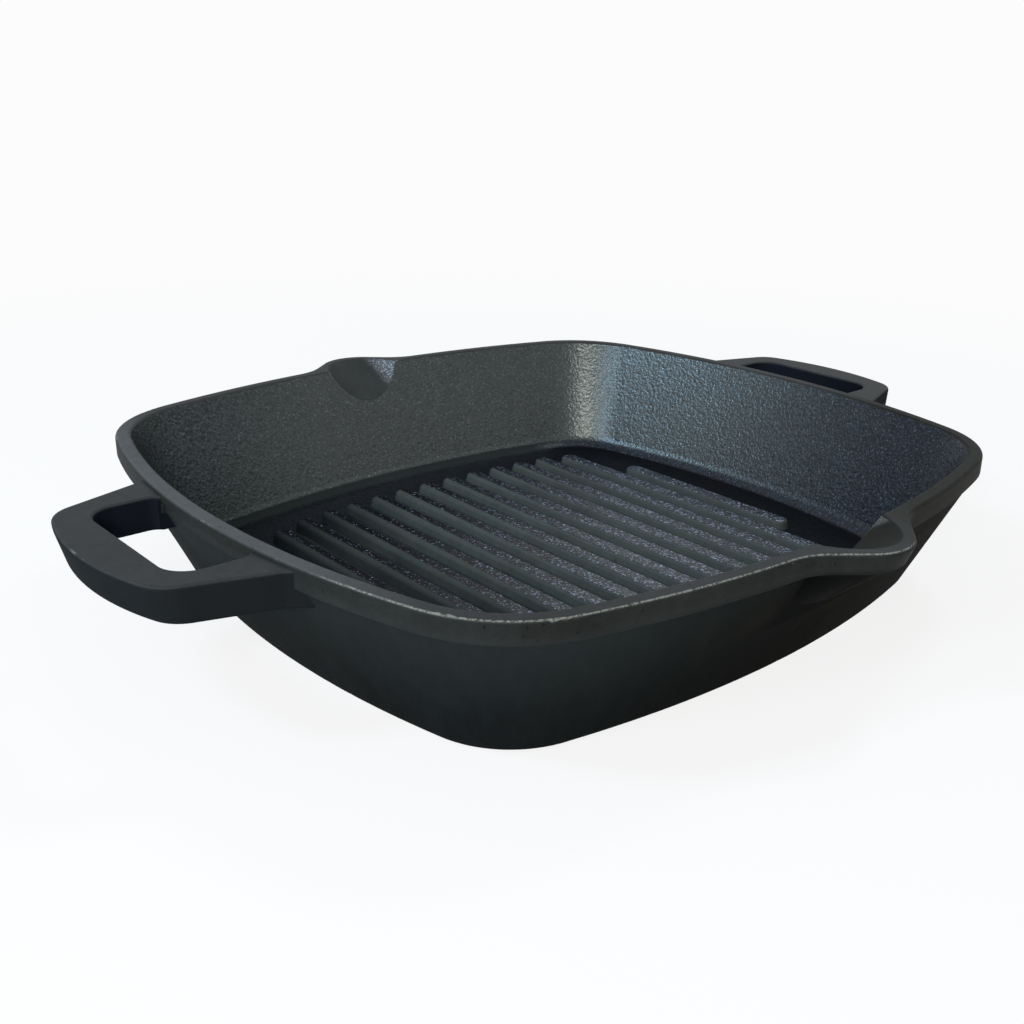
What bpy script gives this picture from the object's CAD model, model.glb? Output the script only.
import logging
import math
from collections.abc import Sequence
from dataclasses import dataclass
from enum import Enum
from functools import cached_property

import bpy
import numpy as np
from mathutils import Matrix, Vector

# Finishes, studio and camera for a cast-iron grill pan with two loop handles. All lengths are in
# metres in the casting's own frame: origin under the middle of the pan, X from handle to handle,
# Y from spout to spout, Z up.

LOG = logging.getLogger("grill_pan")
MM = 0.001

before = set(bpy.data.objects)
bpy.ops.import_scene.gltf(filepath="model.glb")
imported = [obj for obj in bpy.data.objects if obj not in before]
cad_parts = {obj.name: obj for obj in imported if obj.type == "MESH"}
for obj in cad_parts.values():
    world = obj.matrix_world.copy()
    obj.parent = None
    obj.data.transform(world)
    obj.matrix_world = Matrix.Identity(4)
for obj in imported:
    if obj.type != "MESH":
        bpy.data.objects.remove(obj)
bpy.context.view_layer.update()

# A place in metres, or one factor for each axis.
Triple = tuple[float, float, float]
# A linear colour, each part from 0 to 1.
Colour = tuple[float, float, float]
# Where a soft step is 0 and where it is 1, in either order.
Span = tuple[float, float]


def screen_colour(red: float, green: float, blue: float) -> Colour:
    """Turn a colour as a screen shows it into the linear colour that a shader takes.

    A screen's curve starts with a short straight stretch and goes on as a power of 2.4.

    Args:
        red, green, blue: the colour's parts, from 0 to 255.

    Returns:
        The linear colour, each part from 0 to 1.
    """

    def linear(part: float) -> float:
        """Undo the screen's curve for one part."""
        share = part / 255
        return share / 12.92 if share <= 0.04045 else ((share + 0.055) / 1.055) ** 2.4

    return linear(red), linear(green), linear(blue)


def grey(level: float) -> tuple[float, float, float, float]:
    """Return a grey as a shader's colour socket takes it."""
    return level, level, level, 1.0


def direction(azimuth: float, elevation: float) -> Vector:
    """Return the direction from the pan towards a place round it.

    Args:
        azimuth: degrees; 0 is in front of the front spout and 90 is at the right handle.
        elevation: degrees above the horizon.

    Returns:
        The direction, one metre long.
    """
    turn, rise = math.radians(azimuth), math.radians(elevation)
    return Vector((math.sin(turn) * math.cos(rise), -math.cos(turn) * math.cos(rise), math.sin(rise)))


class Signal:
    """A number, colour or vector on its way through a finish's nodes."""

    def __init__(self, bench: "Bench", socket: bpy.types.NodeSocket) -> None:
        """Keep the socket and the bench that it belongs to."""
        self.bench = bench
        self.socket = socket

    def _math(self, operation: str, first: "Value", second: "Value" = 0.0) -> "Signal":
        """Add one Math node and return what it gives."""
        return self.bench.node("ShaderNodeMath", {"operation": operation}, {0: first, 1: second})

    def __add__(self, other: "Value") -> "Signal":
        """Return this signal plus another value."""
        return self._math("ADD", self, other)

    def __radd__(self, other: float) -> "Signal":
        """Return a number plus this signal."""
        return self._math("ADD", other, self)

    def __sub__(self, other: "Value") -> "Signal":
        """Return this signal less another value."""
        return self._math("SUBTRACT", self, other)

    def __rsub__(self, other: float) -> "Signal":
        """Return a number less this signal."""
        return self._math("SUBTRACT", other, self)

    def __mul__(self, other: "Value") -> "Signal":
        """Return this signal times another value."""
        return self._math("MULTIPLY", self, other)

    def __rmul__(self, other: float) -> "Signal":
        """Return a number times this signal."""
        return self._math("MULTIPLY", other, self)

    def __abs__(self) -> "Signal":
        """Return this signal without its sign."""
        return self._math("ABSOLUTE", self)

    def folded(self, half: float) -> "Signal":
        """Return how far this signal is from the nearest whole multiple of twice the half."""
        return self._math("PINGPONG", self, half)

    def clamp(self) -> "Signal":
        """Return this signal kept between 0 and 1."""
        return self.bench.node("ShaderNodeClamp", {}, {"Value": self})


Value = Signal | float


class Blend(Enum):
    """The data type, sockets and output of a Mix node for each kind of value."""

    NUMBER = ("FLOAT", 2, 3, 0)
    COLOUR = ("RGBA", 6, 7, 2)


@dataclass(frozen=True)
class Cloud:
    """A cloudy pattern: how wide one cloud is, and how far finer layers and a bend break it up."""

    size: float
    detail: float = 2.0
    rough: float = 0.5
    bend: float = 0.0


class Bench:
    """The node tree of one finish, with a short way to add each kind of node."""

    def __init__(self, tree: bpy.types.NodeTree) -> None:
        """Clear a node tree and work on it.

        Args:
            tree: the node tree of a material or world.
        """
        self.tree = tree
        self.tree.nodes.clear()

    def node(
        self,
        kind: str,
        settings: dict[str, object],
        inputs: dict[int | str, object],
        out: int | str = 0,
    ) -> Signal:
        """Add one node.

        Args:
            kind: the node's type.
            settings: the node's attributes, set before its sockets.
            inputs: a value or a signal for each socket that isn't left as it is.
            out: the socket that is handed on.

        Returns:
            The signal of that socket, or of the first input where a node has no output.
        """
        made = self.tree.nodes.new(kind)
        for name, setting in settings.items():
            setattr(made, name, setting)
        for key, value in inputs.items():
            if isinstance(value, Signal):
                self.tree.links.new(value.socket, made.inputs[key])
            else:
                made.inputs[key].default_value = value
        return Signal(self, made.outputs[out] if made.outputs else made.inputs[0])

    @cached_property
    def point(self) -> Signal:
        """The point of the surface in the casting's frame."""
        return self.node("ShaderNodeTexCoord", {}, {}, "Object")

    @cached_property
    def facing(self) -> Signal:
        """The direction that the surface faces."""
        return self.node("ShaderNodeNewGeometry", {}, {}, "Normal")

    @cached_property
    def across(self) -> Signal:
        """The point's place from handle to handle."""
        return self.part(self.point, "X")

    @cached_property
    def along(self) -> Signal:
        """The point's place from spout to spout."""
        return self.part(self.point, "Y")

    @cached_property
    def up(self) -> Signal:
        """The point's height above the underside."""
        return self.part(self.point, "Z")

    @cached_property
    def rise(self) -> Signal:
        """How far the surface faces up: 1 where it is level and 0 where it is upright."""
        return self.part(self.facing, "Z")

    @cached_property
    def outward(self) -> Signal:
        """How far the surface faces away from the pan's middle line, times the way from there."""
        return self.dot(self.facing, self.scaled(self.point, (1.0, 1.0, 0.0)))

    def part(self, vector: Signal, axis: str) -> Signal:
        """Return the X, Y or Z part of a vector."""
        return self.node("ShaderNodeSeparateXYZ", {}, {0: vector}, axis)

    def scaled(self, vector: Signal, factors: Triple) -> Signal:
        """Return a vector with its parts multiplied one by one."""
        return self.node("ShaderNodeVectorMath", {"operation": "MULTIPLY"}, {0: vector, 1: factors})

    def dot(self, first: Signal, second: Signal | Triple) -> Signal:
        """Return the dot product of two vectors."""
        settings = {"operation": "DOT_PRODUCT"}
        return self.node("ShaderNodeVectorMath", settings, {0: first, 1: second}, "Value")

    def noise(self, cloud: Cloud, at: Signal | None = None) -> Signal:
        """Return a cloudy pattern.

        Args:
            cloud: the pattern.
            at: where it is read, the surface's point if left out.

        Returns:
            Its strength, from about 0 to 1.
        """
        return self.node(
            "ShaderNodeTexNoise",
            {"noise_dimensions": "3D"},
            {
                "Vector": at or self.point,
                "Scale": 1 / cloud.size,
                "Detail": cloud.detail,
                "Roughness": cloud.rough,
                "Distortion": cloud.bend,
            },
        )

    def pebbles(self, size: float, softness: float) -> Signal:
        """Return rounded cells: 0 in a cell's middle and about 0.7 on its border."""
        return self.node(
            "ShaderNodeTexVoronoi",
            {"feature": "SMOOTH_F1"},
            {"Vector": self.point, "Scale": 1 / size, "Smoothness": softness},
        )

    def ease(self, value: Signal, span: Span) -> Signal:
        """Return a soft step that is 0 at the span's first end and 1 at its second one.

        Args:
            value: what the step follows.
            span: where the step is 0 and where it is 1.

        Returns:
            The step, from 0 to 1.
        """
        low, high = min(span), max(span)
        start, end = (0.0, 1.0) if span == (low, high) else (1.0, 0.0)
        return self.node(
            "ShaderNodeMapRange",
            {"interpolation_type": "SMOOTHSTEP"},
            {"Value": value, "From Min": low, "From Max": high, "To Min": start, "To Max": end},
        )

    def mix(self, share: Value, first: Value | Colour, second: Value | Colour, blend: Blend) -> Signal:
        """Return the first value where share is 0 and the second where it is 1.

        Args:
            share: how much of the second value is in the mix.
            first, second: the values.
            blend: what kind of value they are.

        Returns:
            The mixed value.
        """
        kind, first_socket, second_socket, result = blend.value
        start, end = ((*value, 1.0) if isinstance(value, tuple) else value for value in (first, second))
        inputs = {0: share, first_socket: start, second_socket: end}
        return self.node("ShaderNodeMix", {"data_type": kind}, inputs, result)

    def colour(self, share: Value, first: Signal | Colour, second: Signal | Colour) -> Signal:
        """Mix two colours."""
        return self.mix(share, first, second, Blend.COLOUR)

    def number(self, share: Value, first: Value, second: Value) -> Signal:
        """Mix two numbers."""
        return self.mix(share, first, second, Blend.NUMBER)

    def cover(self, mask: Signal, below: Signal, above: Signal) -> Signal:
        """Return the shader below, with the one above over it where the mask is 1."""
        return self.node("ShaderNodeMixShader", {}, {0: mask, 1: below, 2: above})


@dataclass
class Skin:
    """How one kind of surface looks: its colour, roughness and fine relief in metres."""

    colour: Signal
    roughness: Value
    relief: Signal
    gloss: float = 0.5
    tint: Colour = (1.0, 1.0, 1.0)

    def covered(self, mask: Signal, other: "Skin") -> "Skin":
        """Return this skin, with its own gloss, and the other one over it where the mask is 1."""
        bench = mask.bench
        return Skin(
            bench.colour(mask, self.colour, other.colour),
            bench.number(mask, self.roughness, other.roughness),
            bench.number(mask, self.relief, other.relief),
            self.gloss,
            self.tint,
        )

    def shader(self, bench: Bench) -> Signal:
        """Return the skin's shader, with its relief as a bump in real heights."""
        bump = bench.node("ShaderNodeBump", {}, {"Strength": 1.0, "Distance": 1.0, "Height": self.relief})
        return bench.node(
            "ShaderNodeBsdfPrincipled",
            {},
            {
                "Base Color": self.colour,
                "Roughness": self.roughness,
                "Normal": bump,
                "Specular IOR Level": self.gloss,
                "Specular Tint": (*self.tint, 1.0),
            },
        )


# A mask and the skin that it lays over what is below.
Cover = tuple[Signal, Skin]


@dataclass(frozen=True)
class SandCast:
    """The pebbly skin that moulding sand leaves on iron, under a thin black seasoning."""

    hollow: Colour = screen_colour(6, 7, 8)
    crest: Colour = screen_colour(38, 40, 42)
    glint: Colour = screen_colour(70, 73, 76)
    tint: Colour = (0.87, 1.0, 0.98)
    gloss: float = 0.55
    roughness: Span = (0.22, 0.34)
    height: float = 0.28 * MM
    pebble: float = 1.3 * MM
    pebble_softness: float = 0.6
    pebble_weight: float = 0.45
    cloud_share: float = 1.2
    cloud_rough: float = 0.6
    cloud_weight: float = 0.75
    grit_share: float = 0.35
    grit_weight: float = 0.25
    crest_lump: Span = (0.50, 0.95)
    crest_weight: float = 0.8
    drift: Cloud = Cloud(40 * MM, 3.0, 0.6)
    drift_weight: float = 0.35
    speck: Cloud = Cloud(0.8 * MM, 1.0)
    specked: Span = (0.60, 0.69)

    def skin(self, bench: Bench) -> Skin:
        """Return the skin: rounded pebbles with finer grit, dark hollows and bare specks.

        Args:
            bench: the finish's nodes.

        Returns:
            The skin.
        """
        cells = 1 - bench.pebbles(self.pebble, self.pebble_softness)
        cloud = bench.noise(Cloud(self.pebble * self.cloud_share, rough=self.cloud_rough))
        grit = bench.noise(Cloud(self.pebble * self.grit_share, detail=1.0))
        lump = cells * self.pebble_weight + cloud * self.cloud_weight + grit * self.grit_weight
        crest = bench.ease(lump, self.crest_lump)
        tone = (crest * self.crest_weight + bench.noise(self.drift) * self.drift_weight).clamp()
        bare = bench.ease(bench.noise(self.speck), self.specked)
        return Skin(
            bench.colour(bare, bench.colour(tone, self.hollow, self.crest), self.glint),
            bench.number(grit, *self.roughness),
            lump * self.height,
            self.gloss,
            self.tint,
        )


@dataclass(frozen=True)
class ThickCast(SandCast):
    """The same skin under heavier seasoning: duller and blue-black."""

    hollow: Colour = screen_colour(3, 4, 8)
    crest: Colour = screen_colour(24, 29, 37)
    glint: Colour = screen_colour(60, 68, 80)
    tint: Colour = (0.80, 0.95, 1.0)
    gloss: float = 0.20
    height: float = 0.36 * MM


@dataclass(frozen=True)
class CornerCast(SandCast):
    """The skin in the left corners: dull, with black hollows between grey-green grains."""

    hollow: Colour = screen_colour(1, 2, 3)
    crest: Colour = screen_colour(53, 63, 65)
    glint: Colour = screen_colour(66, 76, 78)
    tint: Colour = (0.85, 1.0, 1.0)
    gloss: float = 0.13
    height: float = 0.75 * MM


@dataclass(frozen=True)
class FloorCast(SandCast):
    """The same skin on the floor, worn lower and black with seasoning."""

    hollow: Colour = screen_colour(2, 2, 4)
    crest: Colour = screen_colour(9, 11, 15)
    glint: Colour = screen_colour(30, 34, 42)
    gloss: float = 0.04
    roughness: Span = (0.30, 0.42)
    height: float = 0.18 * MM
    specked: Span = (0.66, 0.75)


@dataclass(frozen=True)
class CrownCast(SandCast):
    """The skin on top of the ribs: coarse and rubbed bright on its grains."""

    hollow: Colour = screen_colour(2, 3, 9)
    crest: Colour = screen_colour(16, 20, 30)
    glint: Colour = screen_colour(112, 121, 136)
    gloss: float = 0.4
    height: float = 0.42 * MM
    pebble: float = 1.2 * MM
    specked: Span = (0.57, 0.66)


@dataclass(frozen=True)
class BlackCrown(CrownCast):
    """The crown skin where it is still black, with fewer bright grains."""

    hollow: Colour = screen_colour(1, 2, 7)
    crest: Colour = screen_colour(3, 5, 11)
    glint: Colour = screen_colour(120, 128, 142)
    gloss: float = 0.02
    specked: Span = (0.66, 0.75)


@dataclass(frozen=True)
class Ground:
    """Iron smoothed on a wheel and lightly seasoned: satin, with faint clouds and pits."""

    dark: Colour = screen_colour(22, 23, 23)
    light: Colour = screen_colour(50, 51, 51)
    gloss: float = 0.10
    roughness: Span = (0.57, 0.70)
    height: float = 0.035 * MM
    tooth: Cloud = Cloud(0.7 * MM, 2.0, 0.6)
    tooth_weight: float = 0.35
    cloud: Cloud = Cloud(22 * MM, 4.0, 0.65)
    cloud_weight: float = 0.9
    blotch: Cloud = Cloud(4 * MM, 3.0, 0.6)
    blotch_weight: float = 0.5
    pit: Cloud = Cloud(1.6 * MM, 1.0)
    pitted: Span = (0.31, 0.22)
    pit_weight: float = 0.5
    pit_depth: float = 1.5
    shade: float = 0.3

    def skin(self, bench: Bench) -> Skin:
        """Return the skin: fine tooth, faint clouds and a few shallow pits.

        Args:
            bench: the finish's nodes.

        Returns:
            The skin.
        """
        tooth, cloud, blotch = (bench.noise(pattern) for pattern in (self.tooth, self.cloud, self.blotch))
        pits = bench.ease(bench.noise(self.pit), self.pitted)
        marks = blotch * self.blotch_weight + tooth * self.tooth_weight - pits * self.pit_weight
        tone = (cloud * self.cloud_weight + marks - self.shade).clamp()
        return Skin(
            bench.colour(tone, self.dark, self.light),
            bench.number(cloud, *self.roughness),
            (tooth - pits * self.pit_depth) * self.height,
            self.gloss,
        )


@dataclass(frozen=True)
class RibFlank(Ground):
    """The flanks of the ribs, smooth from the pattern's draft."""

    dark: Colour = screen_colour(36, 41, 40)
    light: Colour = screen_colour(62, 67, 66)
    gloss: float = 0.12


@dataclass(frozen=True)
class OuterCast:
    """The outside of the casting: fine sand skin, smoked black, browner in front and paler behind."""

    soot: Colour = screen_colour(2, 2, 2)
    iron: Colour = screen_colour(17, 19, 15)
    rust: Colour = screen_colour(31, 28, 18)
    pale_soot: Colour = screen_colour(12, 15, 16)
    pale: Colour = screen_colour(35, 40, 41)
    pale_left: Span = (10 * MM, -110 * MM)
    pale_back: Span = (-70 * MM, 20 * MM)
    gloss: float = 0.012
    roughness: Span = (0.64, 0.80)
    height: float = 0.05 * MM
    grain: Cloud = Cloud(0.9 * MM, 2.0, 0.6)
    grain_weight: float = 0.1
    cloud: Cloud = Cloud(35 * MM, 4.0, 0.6)
    cloud_weight: float = 0.55
    streak: Cloud = Cloud(6 * MM, 3.0, 0.6)
    streak_squash: Triple = (1.0, 1.0, 0.3)
    streak_weight: float = 0.35
    clean: Span = (2 * MM, 50 * MM)
    clean_weight: float = 0.65
    patch: Cloud = Cloud(24 * MM, 4.0, 0.6, 0.5)
    patched: Span = (0.48, 0.66)
    patch_share: float = 0.85
    shade: float = 0.3

    def skin(self, bench: Bench) -> Skin:
        """Return the skin: it darkens downwards and has upright streaks and soft brown patches.

        Args:
            bench: the finish's nodes.

        Returns:
            The skin.
        """
        grain, cloud = bench.noise(self.grain), bench.noise(self.cloud)
        streak = bench.noise(self.streak, bench.scaled(bench.point, self.streak_squash))
        marks = cloud * self.cloud_weight + streak * self.streak_weight + grain * self.grain_weight
        tone = (bench.ease(bench.up, self.clean) * self.clean_weight + marks - self.shade).clamp()
        patch = bench.ease(bench.noise(self.patch), self.patched) * self.patch_share
        pale = (bench.ease(bench.across, self.pale_left) + bench.ease(bench.along, self.pale_back)).clamp()
        metal = bench.colour(pale, bench.colour(patch, self.iron, self.rust), self.pale)
        return Skin(
            bench.colour(tone, bench.colour(pale, self.soot, self.pale_soot), metal),
            bench.number(cloud, *self.roughness),
            grain * self.height,
            self.gloss,
        )


@dataclass(frozen=True)
class WornEdge:
    """The bright line that handling leaves on the outer top edge."""

    bare: Colour = screen_colour(112, 114, 107)
    roughness: float = 0.45
    rising: Span = (0.52, 0.76)
    level: Span = (0.97, 0.85)
    outside: Span = (0.0, 0.03)
    chip: Cloud = Cloud(0.8 * MM, 3.0, 0.7)
    chipped: Span = (0.30, 0.55)
    front_along: Span = (-48 * MM, -72 * MM)
    front_across: Span = (14 * MM, 6 * MM)
    nick: Cloud = Cloud(9 * MM, 2.0, 0.6)
    nicked: Span = (0.58, 0.66)
    nick_across: Span = (52 * MM, 30 * MM)
    nick_share: float = 0.6

    def over(self, bench: Bench, skin: Skin) -> Skin:
        """Return a skin with the bare line over it: whole along the front left, only nicks elsewhere.

        Args:
            bench: the finish's nodes.
            skin: the skin that is worn.

        Returns:
            The skin with the line.
        """
        band = bench.ease(bench.rise, self.rising) * bench.ease(bench.rise, self.level)
        chips = bench.ease(bench.noise(self.chip), self.chipped)
        front = bench.ease(bench.along, self.front_along) * bench.ease(bench.across, self.front_across)
        nicks = bench.ease(bench.noise(self.nick), self.nicked) * bench.ease(bench.across, self.nick_across)
        line = bench.number(front, nicks * self.nick_share, 1.0)
        mask = band * bench.ease(bench.outward, self.outside) * chips * line
        bare = Skin(bench.colour(chips, skin.colour, self.bare), self.roughness, skin.relief)
        return skin.covered(mask, bare)


@dataclass(frozen=True)
class IronFinish:
    """One material of the casting: the skins that several regions share and where they meet."""

    name: str
    inner: SandCast = SandCast()
    thick: ThickCast = ThickCast()
    corner: CornerCast = CornerCast()
    floor: FloorCast = FloorCast()
    flank: RibFlank = RibFlank()
    smooth: Ground = Ground()
    band: Ground = Ground(dark=screen_colour(17, 18, 18), light=screen_colour(38, 41, 40), gloss=0.06)
    dim: Ground = Ground(dark=screen_colour(14, 15, 13), light=screen_colour(36, 37, 33), gloss=0.05)
    outer: OuterCast = OuterCast()
    edge: WornEdge = WornEdge()
    inward_turn: Span = (-0.02, -0.06)
    band_up: Span = (44 * MM, 50 * MM)
    upright: Span = (0.50, 0.25)
    dim_across: Span = (-10 * MM, 45 * MM)
    dim_along: Span = (0.0, -70 * MM)
    corner_across: Span = (-15 * MM, -115 * MM)
    corner_share: float = 0.85
    black_across: Span = (-95 * MM, -128 * MM)
    black_share: float = 0.75
    thick_across: Span = (60 * MM, 115 * MM)
    thick_along: Span = (50 * MM, -85 * MM)

    def inward(self, bench: Bench) -> Signal:
        """Return 1 where the surface faces the middle of the pan from the side."""
        return bench.ease(bench.outward, self.inward_turn)

    def ground(self, bench: Bench, mask: Signal) -> list[Cover]:
        """Lay the ground skins with their worn edge: darker on the sides, dim towards the front right.

        Args:
            bench: the finish's nodes.
            mask: 1 where the surface is ground.

        Returns:
            The masks and skins, the lowest first.
        """
        side = bench.ease(bench.rise, self.upright)
        dim = bench.ease(bench.across, self.dim_across) * bench.ease(bench.along, self.dim_along)
        return [
            (mask, self.edge.over(bench, self.smooth.skin(bench))),
            (mask * side, self.edge.over(bench, self.band.skin(bench))),
            (mask * dim, self.edge.over(bench, self.dim.skin(bench))),
        ]

    def inside(self, bench: Bench, mask: Signal) -> list[Cover]:
        """Lay the sand skins inside the pan: dull at the left, black beside that rim, thick at the right.

        Args:
            bench: the finish's nodes.
            mask: 1 where the surface belongs to the inside.

        Returns:
            The masks and skins, the lowest first.
        """
        left = bench.ease(bench.across, self.corner_across) * self.corner_share
        black = bench.ease(bench.across, self.black_across) * self.black_share
        right = bench.ease(bench.across, self.thick_across) * bench.ease(bench.along, self.thick_along)
        return [
            (mask, self.inner.skin(bench)),
            (mask * left, self.corner.skin(bench)),
            (mask * black, self.floor.skin(bench)),
            (mask * right, self.thick.skin(bench)),
        ]

    def layers(self, bench: Bench) -> tuple[Skin, list[Cover]]:
        """Return the skin underneath, and a mask and skin for each one over it.

        Args:
            bench: the finish's nodes.

        Returns:
            The skin underneath, and the masks and skins over it, the lowest first.
        """
        raise NotImplementedError

    def material(self) -> bpy.types.Material:
        """Build the material.

        Returns:
            The material, with one shader for each skin.
        """
        material = bpy.data.materials.new(self.name)
        material.use_nodes = True
        bench = Bench(material.node_tree)
        lowest, covers = self.layers(bench)
        shader = lowest.shader(bench)
        for mask, skin in covers:
            shader = bench.cover(mask, shader, skin.shader(bench))
        bench.node("ShaderNodeOutputMaterial", {}, {"Surface": shader})
        return material


@dataclass(frozen=True)
class FloorFinish(IronFinish):
    """Cooking floor: sand cast above, smooth between the ribs, a paler outer skin below."""

    under: OuterCast = OuterCast(
        soot=screen_colour(28, 30, 30),
        iron=screen_colour(48, 52, 51),
        rust=screen_colour(54, 48, 38),
        pale_soot=screen_colour(30, 33, 34),
        pale=screen_colour(50, 54, 54),
        gloss=0.08,
    )
    upward: Span = (-0.2, 0.2)
    groove_x: float = 80 * MM
    groove_y: float = 74 * MM
    groove_soft: float = 6 * MM
    groove_share: float = 0.45

    def layers(self, bench: Bench) -> tuple[Skin, list[Cover]]:
        """Lay the sand skin where the floor faces up and the ribs' smooth one between the ribs.

        Args:
            bench: the finish's nodes.

        Returns:
            The skin underneath, and the masks and skins over it, the lowest first.
        """
        up = bench.ease(bench.rise, self.upward)
        groove = up * self.groove_share
        for place, half in ((bench.across, self.groove_x), (bench.along, self.groove_y)):
            groove = groove * bench.ease(abs(place), (half + self.groove_soft, half - self.groove_soft))
        return self.under.skin(bench), [(up, self.floor.skin(bench)), (groove, self.flank.skin(bench))]


@dataclass(frozen=True)
class RibFinish(IronFinish):
    """Ribs: smooth flanks and coarse crowns, dark to the left and bright to the front right."""

    crown: CrownCast = CrownCast()
    black_crown: BlackCrown = BlackCrown()
    crowned: Span = (0.80, 0.95)
    pitch: float = 12.7 * MM
    black_half: float = 1.7 * MM
    black_shift: float = 1.0 * MM
    bright_half: float = 3.6 * MM
    bright_way: Triple = (0.7, -0.7, 0.0)
    bright_span: Span = (-75 * MM, 40 * MM)
    stripe_soft: Span = (0.5 * MM, -0.5 * MM)
    dull_across: Span = (-15 * MM, -85 * MM)
    dull_share: float = 0.6
    dark_across: Span = (5 * MM, -75 * MM)
    dark_along: Span = (35 * MM, 85 * MM)
    dark_share: float = 0.85

    def layers(self, bench: Bench) -> tuple[Skin, list[Cover]]:
        """Darken the flanks to the left and the back left, and lay a stripe of sand skin on each crown.

        Args:
            bench: the finish's nodes.

        Returns:
            The skin underneath, and the masks and skins over it, the lowest first.
        """
        bright = bench.ease(bench.dot(bench.point, self.bright_way), self.bright_span)
        shift = bench.number(bright, self.black_shift, 0.0)
        half = bench.number(bright, self.black_half, self.bright_half)
        stripe = bench.ease((bench.across - shift).folded(self.pitch / 2) - half, self.stripe_soft)
        crown = bench.ease(bench.rise, self.crowned) * stripe
        dull = bench.ease(bench.across, self.dull_across) * self.dull_share
        dark = bench.ease(bench.across, self.dark_across) * bench.ease(bench.along, self.dark_along)
        return self.flank.skin(bench), [
            (dull, self.dim.skin(bench)),
            (dark * self.dark_share, self.floor.skin(bench)),
            (crown, self.black_crown.skin(bench)),
            (crown * bright, self.crown.skin(bench)),
        ]


@dataclass(frozen=True)
class WallFinish(IronFinish):
    """Sloped wall: sand cast inside with a dull foot, outer skin outside."""

    foot: Ground = Ground(dark=screen_colour(16, 20, 20), light=screen_colour(32, 37, 36), gloss=0.05)
    foot_rise: Span = (0.58, 0.70)
    thick_foot_rise: Span = (0.58, 0.72)
    thick_foot_across: Span = (75 * MM, 105 * MM)
    floor_rise: Span = (0.95, 0.99)

    def layers(self, bench: Bench) -> tuple[Skin, list[Cover]]:
        """Lay the sand skins on the inside, a dull foot that is thick at the right, and the floor's skin.

        Args:
            bench: the finish's nodes.

        Returns:
            The skin underneath, and the masks and skins over it, the lowest first.
        """
        right = bench.ease(bench.across, self.thick_foot_across)
        return self.outer.skin(bench), [
            *self.inside(bench, self.inward(bench)),
            (bench.ease(bench.rise, self.foot_rise) * (1 - right), self.foot.skin(bench)),
            (bench.ease(bench.rise, self.thick_foot_rise) * right, self.thick.skin(bench)),
            (bench.ease(bench.rise, self.floor_rise), self.floor.skin(bench)),
        ]


@dataclass(frozen=True)
class RimFinish(IronFinish):
    """Rim band: ground on top and outside, sand cast inside, with a worn outer edge."""

    bright: Ground = Ground(dark=screen_colour(46, 48, 49), light=screen_colour(76, 78, 79))
    bright_across: Span = (-100 * MM, -132 * MM)
    bright_along: Span = (-105 * MM, -45 * MM)
    bright_rise: Span = (0.5, 0.9)
    inside_rise: Span = (0.66, 0.60)

    def layers(self, bench: Bench) -> tuple[Skin, list[Cover]]:
        """Lay the ground skins with their worn edge, bright along the left rim, and sand skins inside.

        Args:
            bench: the finish's nodes.

        Returns:
            The skin underneath, and the masks and skins over it, the lowest first.
        """
        band = bench.ease(bench.up, self.band_up)
        bright = bench.ease(bench.across, self.bright_across) * bench.ease(bench.along, self.bright_along)
        bright = bright * bench.ease(bench.rise, self.bright_rise)
        return self.outer.skin(bench), [
            *self.ground(bench, band),
            (band * bright, self.edge.over(bench, self.bright.skin(bench))),
            *self.inside(bench, self.inward(bench) * bench.ease(bench.rise, self.inside_rise)),
        ]


@dataclass(frozen=True)
class SpoutFinish(IronFinish):
    """Spouts: a ground scoop through the sand-cast wall, with the outer skin below the band."""

    under: OuterCast = OuterCast(
        iron=screen_colour(7, 9, 8),
        rust=screen_colour(13, 11, 8),
        pale=screen_colour(9, 11, 10),
    )
    under_away: Span = (32 * MM, 16 * MM)
    scoop: Ground = Ground(dark=screen_colour(22, 24, 23), light=screen_colour(48, 51, 49))
    scoop_rise: Span = (0.56, 0.62)
    front_along: Span = (10 * MM, -10 * MM)
    rubbed: CrownCast = CrownCast(
        hollow=screen_colour(32, 35, 37),
        crest=screen_colour(78, 80, 86),
        glint=screen_colour(128, 130, 140),
        height=0.22 * MM,
        pebble=1.0 * MM,
        specked=(0.56, 0.65),
    )
    rubbed_across: Span = (6.0 * MM, 11.5 * MM)
    rubbed_slant: float = 0.25
    rubbed_end: Span = (19 * MM, 17 * MM)
    lip: float = 53 * MM

    def layers(self, bench: Bench) -> tuple[Skin, list[Cover]]:
        """Lay the outer skins, the ground ones above, the sand skin inside and a rubbed rear corner.

        Args:
            bench: the finish's nodes.

        Returns:
            The skin underneath, and the masks and skins over it, the lowest first.
        """
        inside = self.inward(bench)
        scooped = bench.ease(bench.rise, self.scoop_rise)
        scoop = inside * scooped
        front = bench.ease(bench.along, self.front_along)
        slanted = bench.across - (self.lip - bench.up) * self.rubbed_slant
        rubbed = bench.ease(slanted, self.rubbed_across) * bench.ease(bench.across, self.rubbed_end)
        return self.outer.skin(bench), [
            (bench.ease(abs(bench.across), self.under_away), self.under.skin(bench)),
            *self.ground(bench, bench.number(inside, bench.ease(bench.up, self.band_up), 1.0)),
            (inside * (1 - scooped), self.inner.skin(bench)),
            (scoop, self.scoop.skin(bench)),
            (scoop * front, self.dim.skin(bench)),
            (scoop * rubbed * (1 - front), self.rubbed.skin(bench)),
        ]


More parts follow.
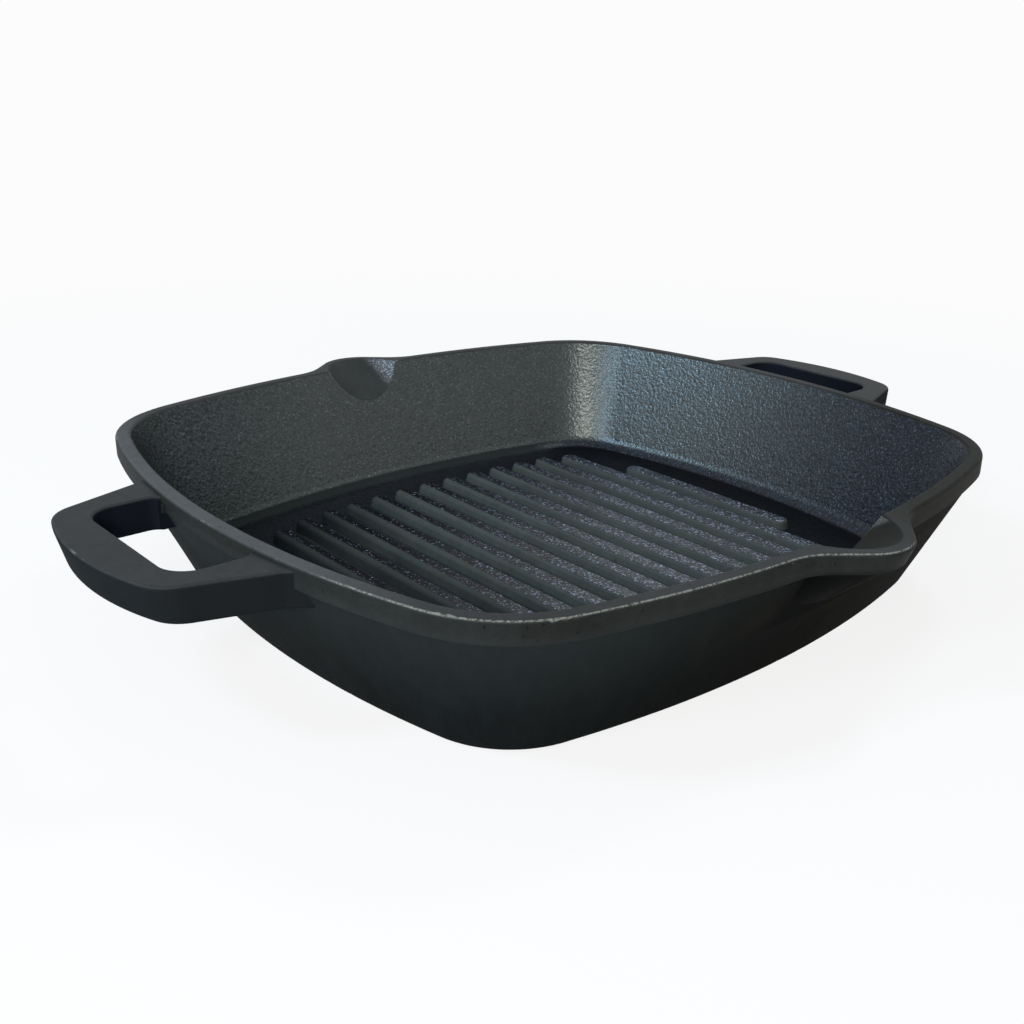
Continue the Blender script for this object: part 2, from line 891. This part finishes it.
@dataclass(frozen=True)
class HandleFinish(IronFinish):
    """Loop handles: smooth casting with a faint worn edge and sooty finger openings."""

    sides: OuterCast = OuterCast(
        soot=screen_colour(6, 7, 8),
        iron=screen_colour(26, 29, 28),
        rust=screen_colour(20, 21, 19),
        pale=screen_colour(27, 30, 32),
    )
    hole: OuterCast = OuterCast(
        soot=screen_colour(3, 4, 8),
        iron=screen_colour(7, 8, 11),
        rust=screen_colour(6, 7, 9),
        pale=screen_colour(20, 23, 31),
    )
    hole_across: Span = (168 * MM, 167 * MM)
    hole_along: Span = (33 * MM, 32 * MM)
    top_rise: Span = (0.35, 0.75)

    def layers(self, bench: Bench) -> tuple[Skin, list[Cover]]:
        """Lay the sides' skin, the sooty one in the hole, and the ground skin on top with its worn edge.

        Args:
            bench: the finish's nodes.

        Returns:
            The skin underneath, and the masks and skins over it, the lowest first.
        """
        hole = bench.ease(abs(bench.across), self.hole_across)
        hole = hole * bench.ease(abs(bench.along), self.hole_along)
        return self.sides.skin(bench), [
            (hole, self.hole.skin(bench)),
            (bench.ease(bench.rise, self.top_rise), self.edge.over(bench, self.smooth.skin(bench))),
        ]


@dataclass
class Region:
    """Some regions of the casting that share a finish."""

    finish: IronFinish
    nodes: Sequence[str]

    def dress(self) -> list[bpy.types.Object]:
        """Give the regions their material.

        Returns:
            The dressed objects.
        """
        material = self.finish.material()
        pieces = [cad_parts[name] for name in self.nodes]
        for piece in pieces:
            piece.data.materials.clear()
            piece.data.materials.append(material)
        return pieces


@dataclass
class GrillPan:
    """The whole casting, region by region."""

    rib_prefix: str = "grill_rib_"

    def regions(self) -> list[Region]:
        """Return the regions with their finishes; the ribs are as many as the frame has."""
        ribs = sorted(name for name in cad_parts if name.startswith(self.rib_prefix))
        return [
            Region(FloorFinish("cooking_floor_iron"), ["floor_plate"]),
            Region(RibFinish("rib_iron"), ribs),
            Region(WallFinish("cast_wall_iron"), ["side_wall"]),
            Region(RimFinish("ground_rim_iron"), ["left_rim", "right_rim"]),
            Region(SpoutFinish("ground_spout_iron"), ["front_spout", "rear_spout"]),
            Region(HandleFinish("ground_handle_iron"), ["left_handle", "right_handle"]),
        ]

    def dress(self) -> list[bpy.types.Object]:
        """Dress every region and return the pieces."""
        return [piece for region in self.regions() for piece in region.dress()]


class Daylight(Enum):
    """The colours of the studio's lamps."""

    WARM = (1.0, 0.95, 0.87)
    COOL = (0.74, 0.87, 1.0)
    BLUE = (0.49, 0.73, 1.0)


@dataclass(frozen=True)
class SoftBox:
    """A rectangular studio lamp that faces the pan: its place in degrees and metres, size and strength."""

    name: str
    azimuth: float
    elevation: float
    distance: float
    width: float
    height: float
    radiance: float
    tint: Daylight

    def place(self) -> bpy.types.Object:
        """Build the lamp and aim it at the origin.

        Returns:
            The lamp's object.
        """
        lamp = bpy.data.lights.new(self.name, "AREA")
        lamp.shape = "RECTANGLE"
        lamp.size, lamp.size_y = self.width, self.height
        lamp.energy = self.radiance * math.pi * self.width * self.height
        lamp.color = self.tint.value
        holder = bpy.data.objects.new(self.name, lamp)
        towards = direction(self.azimuth, self.elevation)
        turned = towards.to_track_quat("Z", "Y").to_matrix().to_4x4()
        holder.matrix_world = Matrix.Translation(towards * self.distance) @ turned
        holder.visible_camera = False
        bpy.context.scene.collection.objects.link(holder)
        return holder


@dataclass(frozen=True)
class Studio:
    """White room: a pale floor that keeps a soft shadow, an even sky and four soft lamps."""

    floor_half: float = 12.0
    paper: float = 0.80
    page: float = 0.975
    shadow_share: float = 0.16
    shadow_away: Span = (0.75, 0.30)
    sky: float = 0.35
    lamps: tuple[SoftBox, ...] = (
        SoftBox("window_lamp", -50, 26, 1.6, 0.46, 0.50, 25.0, Daylight.WARM),
        SoftBox("side_lamp", -86, 28, 1.6, 0.30, 0.30, 26.0, Daylight.COOL),
        SoftBox("sky_lamp", -112, 44, 1.7, 0.30, 0.30, 50.0, Daylight.BLUE),
        SoftBox("back_lamp", 100, 52, 1.6, 0.30, 0.30, 26.0, Daylight.COOL),
    )

    def seen(self, bench: Bench) -> Signal:
        """Return 1 for what is seen directly, in gloss or through glass.

        Args:
            bench: the nodes of the floor or the sky.

        Returns:
            The mask.
        """
        rays = ("Is Camera Ray", "Is Glossy Ray", "Is Transmission Ray")
        camera, gloss, glass = (bench.node("ShaderNodeLightPath", {}, {}, ray) for ray in rays)
        return (camera + gloss + glass).clamp()

    def paper_material(self) -> bpy.types.Material:
        """Build the floor's material: paper that looks white, keeps a shadow and is clear from below.

        Returns:
            The material.
        """
        material = bpy.data.materials.new("studio_paper")
        material.use_nodes = True
        bench = Bench(material.node_tree)
        paper = bench.node("ShaderNodeBsdfDiffuse", {}, {"Color": grey(self.paper)})
        page = bench.node("ShaderNodeEmission", {}, {"Color": grey(self.page), "Strength": 1.0})
        away = bench.node("ShaderNodeVectorMath", {"operation": "LENGTH"}, {0: bench.point}, "Value")
        share = bench.ease(away, self.shadow_away) * self.shadow_share
        top = bench.cover(self.seen(bench), paper, bench.cover(share, page, paper))
        clear = bench.node("ShaderNodeBsdfTransparent", {}, {})
        below = bench.node("ShaderNodeNewGeometry", {}, {}, "Backfacing")
        bench.node("ShaderNodeOutputMaterial", {}, {"Surface": bench.cover(below, top, clear)})
        return material

    def floor(self) -> bpy.types.Object:
        """Lay the floor as one large square at the level that the pan stands on.

        Returns:
            The floor's object.
        """
        square = np.array([(-1, -1, 0), (1, -1, 0), (1, 1, 0), (-1, 1, 0)])
        mesh = bpy.data.meshes.new("studio_floor")
        mesh.from_pydata((square * self.floor_half).tolist(), [], [(0, 1, 2, 3)])
        mesh.materials.append(self.paper_material())
        floor = bpy.data.objects.new("studio_floor", mesh)
        bpy.context.scene.collection.objects.link(floor)
        return floor

    def world(self) -> None:
        """Make the sky: even light, and white where it is seen."""
        world = bpy.data.worlds.new("studio_sky")
        world.use_nodes = True
        bpy.context.scene.world = world
        bench = Bench(world.node_tree)
        strength = bench.number(self.seen(bench), self.sky, self.page)
        sky = bench.node("ShaderNodeBackground", {}, {"Color": grey(1.0), "Strength": strength})
        bench.node("ShaderNodeOutputWorld", {}, {"Surface": sky})

    def build(self) -> None:
        """Build the floor, the sky and the lamps."""
        self.floor()
        self.world()
        for lamp in self.lamps:
            lamp.place()


@dataclass(frozen=True)
class PhotographCamera:
    """The camera as it was solved from the photograph: angles, place and lens."""

    image_pixels: int = 1024
    azimuth: float = -44.39
    elevation: float = 20.48
    roll: float = 2.0
    place: Triple = (-284.78 * MM, -312.17 * MM, 182.91 * MM)
    focal_pixels: float = 1163.0
    centre_pixel: tuple[float, float] = (592.44, 503.01)
    sensor_mm: float = 36.0
    clip_near: float = 10 * MM
    clip_far: float = 100.0

    def build(self) -> bpy.types.Object:
        """Make the camera and use it for the scene.

        Returns:
            The camera's object.
        """
        back = direction(self.azimuth, self.elevation)
        turn, roll = math.radians(self.azimuth), math.radians(self.roll)
        level_right = Vector((math.cos(turn), math.sin(turn), 0))
        level_up = back.cross(level_right)
        right = level_right * math.cos(roll) + level_up * math.sin(roll)
        up = level_up * math.cos(roll) - level_right * math.sin(roll)
        data = bpy.data.cameras.new("photograph_camera")
        data.sensor_width = self.sensor_mm
        data.lens = self.focal_pixels * self.sensor_mm / self.image_pixels
        data.shift_x = (self.image_pixels / 2 - self.centre_pixel[0]) / self.image_pixels
        data.shift_y = (self.centre_pixel[1] - self.image_pixels / 2) / self.image_pixels
        data.clip_start, data.clip_end = self.clip_near, self.clip_far
        camera = bpy.data.objects.new("photograph_camera", data)
        turned = Matrix((right, up, back)).transposed().to_4x4()
        camera.matrix_world = Matrix.Translation(Vector(self.place)) @ turned
        bpy.context.scene.collection.objects.link(camera)
        bpy.context.scene.camera = camera
        return camera


def main() -> None:
    """Set the camera and studio, dress the casting and report each piece."""
    logging.basicConfig(level=logging.INFO, format="%(name)s: %(message)s")
    scene = bpy.context.scene
    scene.view_settings.view_transform = "Standard"
    PhotographCamera().build()
    Studio().build()
    for piece in GrillPan().dress():
        LOG.info("%s: %d faces, %s", piece.name, len(piece.data.polygons), piece.data.materials[0].name)
    bpy.context.view_layer.update()


if __name__ == "__main__":
    main()
